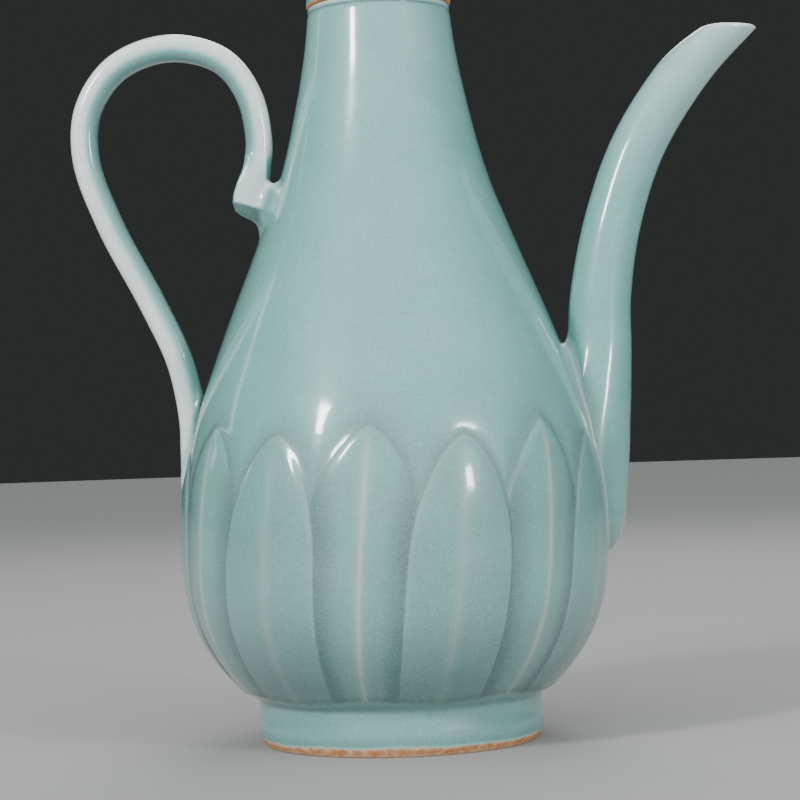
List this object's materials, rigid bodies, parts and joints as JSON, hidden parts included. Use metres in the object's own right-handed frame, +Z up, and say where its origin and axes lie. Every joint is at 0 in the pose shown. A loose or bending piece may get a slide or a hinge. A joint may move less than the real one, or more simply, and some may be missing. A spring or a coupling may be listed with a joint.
{
  "type": "ceramic ewer with lid",
  "caption": "Glazed ceramic ewer with a belly carved as lotus petals, a tapering neck, a long curved spout, a looped rod handle and a cap lid that lifts off.",
  "frame": {"origin": "on the surface it stands on, below the middle of the ewer's length from handle to spout", "axes": "+Z up along the turned body, +X towards the spout, -X towards the handle"},
  "size_m": [0.2284, 0.1403, 0.2797],
  "materials": {
    "celadon_glaze": "glossy",
    "foot_glaze": "glossy",
    "lid_glaze": "glossy"
  },
  "bodies": {
    "pot": {"foot_ring": "foot_glaze", "lower_bowl": "celadon_glaze", "belly_wall": "celadon_glaze", "upper_body": "celadon_glaze", "spout": "celadon_glaze", "handle": "celadon_glaze", "handle_heel": "celadon_glaze"},
    "lid": {"lid_cap": "lid_glaze", "lid_knob": "lid_glaze"}
  },
  "joints": [
    {"name": "lid_lift", "type": "slide", "parent": "pot", "child": "lid", "axis": [0, 0, 1], "range_m": [0, 0.03]}
  ]
}
